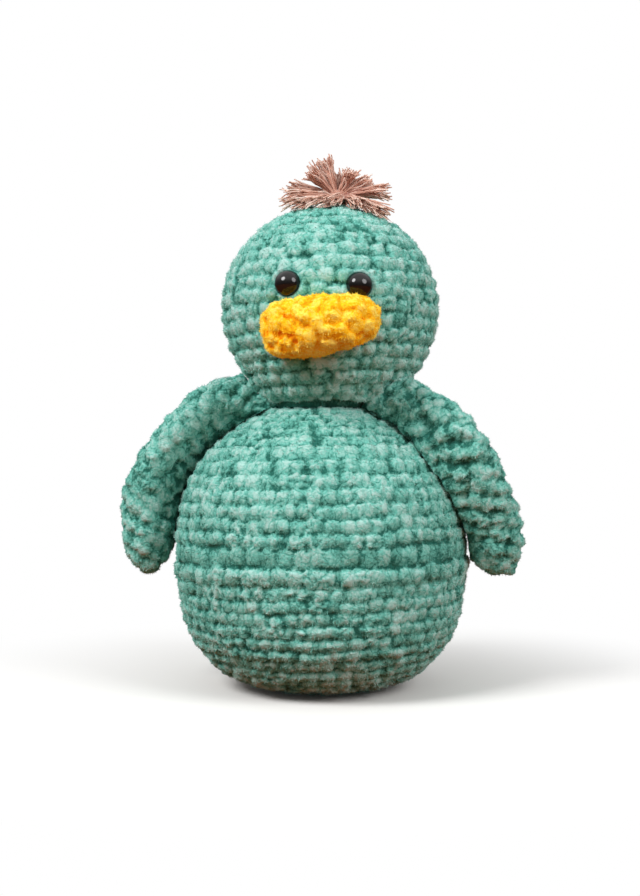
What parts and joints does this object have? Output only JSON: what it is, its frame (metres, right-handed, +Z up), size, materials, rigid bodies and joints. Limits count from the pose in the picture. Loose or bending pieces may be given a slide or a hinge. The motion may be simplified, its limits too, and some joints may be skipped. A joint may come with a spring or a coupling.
{
  "type": "crochet duck",
  "caption": "Plush duck crocheted in thick mint yarn, with a yellow beak, safety eyes, a tuft of brown thread, wings that lift at sewn shoulders and a head that turns on its neck seam.",
  "frame": {"origin": "centre of the flat base on which the duck stands", "axes": "+Z up; the duck faces -Y; +X is its own left side"},
  "size_m": [0.1564, 0.1169, 0.2112],
  "materials": {
    "mint_yarn": "plush chenille yarn, crocheted",
    "yellow_yarn": "plush chenille yarn, crocheted",
    "filling": "loose polyester filling",
    "gloss_black": "polished",
    "plain_plastic": "moulded",
    "brown_thread": "plied cotton thread, cut ends"
  },
  "bodies": {
    "body": {"body_cover": "mint_yarn", "body_stuffing": "filling", "neck_seam": "mint_yarn", "wing_left_seam": "mint_yarn", "wing_right_seam": "mint_yarn"},
    "head": {"head_cover": "mint_yarn", "head_stuffing": "filling", "beak_cover": "yellow_yarn", "beak_stuffing": "filling", "beak_seam": "yellow_yarn", "eye_left": "gloss_black", "eye_right": "gloss_black", "eye_washer_left": "plain_plastic", "eye_washer_right": "plain_plastic", "tuft_knot": "brown_thread", "tuft_lock_01": "brown_thread", "tuft_lock_02": "brown_thread", "tuft_lock_03": "brown_thread", "tuft_lock_04": "brown_thread", "tuft_lock_05": "brown_thread", "tuft_lock_06": "brown_thread", "tuft_lock_07": "brown_thread", "tuft_lock_08": "brown_thread", "tuft_lock_09": "brown_thread", "tuft_lock_10": "brown_thread", "tuft_lock_11": "brown_thread", "tuft_lock_12": "brown_thread", "tuft_lock_13": "brown_thread", "tuft_lock_14": "brown_thread"},
    "wing_left": {"wing_left_cover": "mint_yarn", "wing_left_stuffing": "filling"},
    "wing_right": {"wing_right_cover": "mint_yarn", "wing_right_stuffing": "filling"}
  },
  "joints": [
    {"name": "wing_left_lift", "type": "hinge", "parent": "body", "child": "wing_left", "pos_m": [0.02192, -0.01423, 0.11086], "axis": [-0.5446, -0.8387, 0], "range_deg": [0, 45]},
    {"name": "wing_right_lift", "type": "hinge", "parent": "body", "child": "wing_right", "pos_m": [-0.02613, 0, 0.11086], "axis": [0, 1, 0], "range_deg": [0, 45]},
    {"name": "head_turn", "type": "hinge", "parent": "body", "child": "head", "pos_m": [0.0034, 0, 0.1127], "axis": [0, 0, 1], "range_deg": [-12, 12], "stiffness_Nm_per_rad": 0.02}
  ]
}
